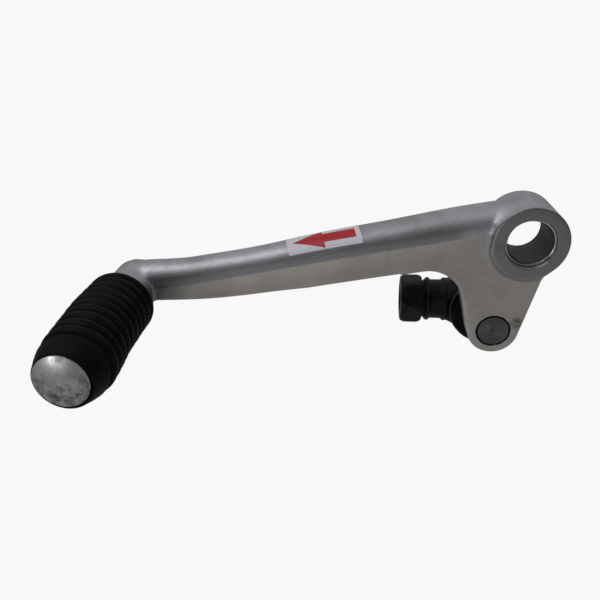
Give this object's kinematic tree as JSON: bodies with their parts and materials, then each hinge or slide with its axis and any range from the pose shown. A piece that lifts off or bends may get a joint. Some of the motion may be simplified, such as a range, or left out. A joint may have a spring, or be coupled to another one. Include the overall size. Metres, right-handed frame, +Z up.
{
  "type": "gear shift lever",
  "caption": "Motorcycle gear shift lever: forged arm with a bushed pivot bore, ribbed rubber toe peg and a swivelling ball joint for the shift rod.",
  "frame": {"origin": "middle of the pivot bore, on its axis", "axes": "+Y runs along the pivot bore towards the machine, the arm reaches towards -X, the toe peg stands out towards -Y, +Z is up"},
  "size_m": [0.1741, 0.113, 0.0645],
  "materials": {
    "forged_alloy": "tumbled satin top, linished flat face",
    "bush_steel": "ground",
    "bush_lining": "sintered low-friction layer",
    "turned_alloy": "turned, satin, stained",
    "peg_rubber": "moulded, ribbed",
    "label_vinyl": "printed sticker",
    "stud_steel": "turned, lightly oiled",
    "seat_plastic": "moulded",
    "black_steel": "black coated",
    "boot_rubber": "moulded, glossy",
    "ring_steel": "spring wire"
  },
  "bodies": {
    "lever": {"lever_arm": "forged_alloy", "bush_shell": "bush_steel", "bush_lining": "bush_lining", "peg_pin": "turned_alloy", "peg_rubber": "peg_rubber", "arrow_label": "label_vinyl", "ball_stud": "stud_steel"},
    "joint_seat": {"ball_seat": "seat_plastic"},
    "rod_joint": {"joint_housing": "black_steel", "end_plug": "black_steel", "joint_boot": "boot_rubber", "boot_ring": "ring_steel"}
  },
  "joints": [
    {"name": "rod_swing", "type": "hinge", "parent": "lever", "child": "joint_seat", "pos_m": [-0.009, 0.0183, -0.0365], "axis": [0, 1, 0], "range_deg": [-200, 12]},
    {"name": "rod_tilt", "type": "hinge", "parent": "joint_seat", "child": "rod_joint", "pos_m": [-0.009, 0.0183, -0.0365], "axis": [0, 0, 1], "range_deg": [-12, 12]}
  ]
}
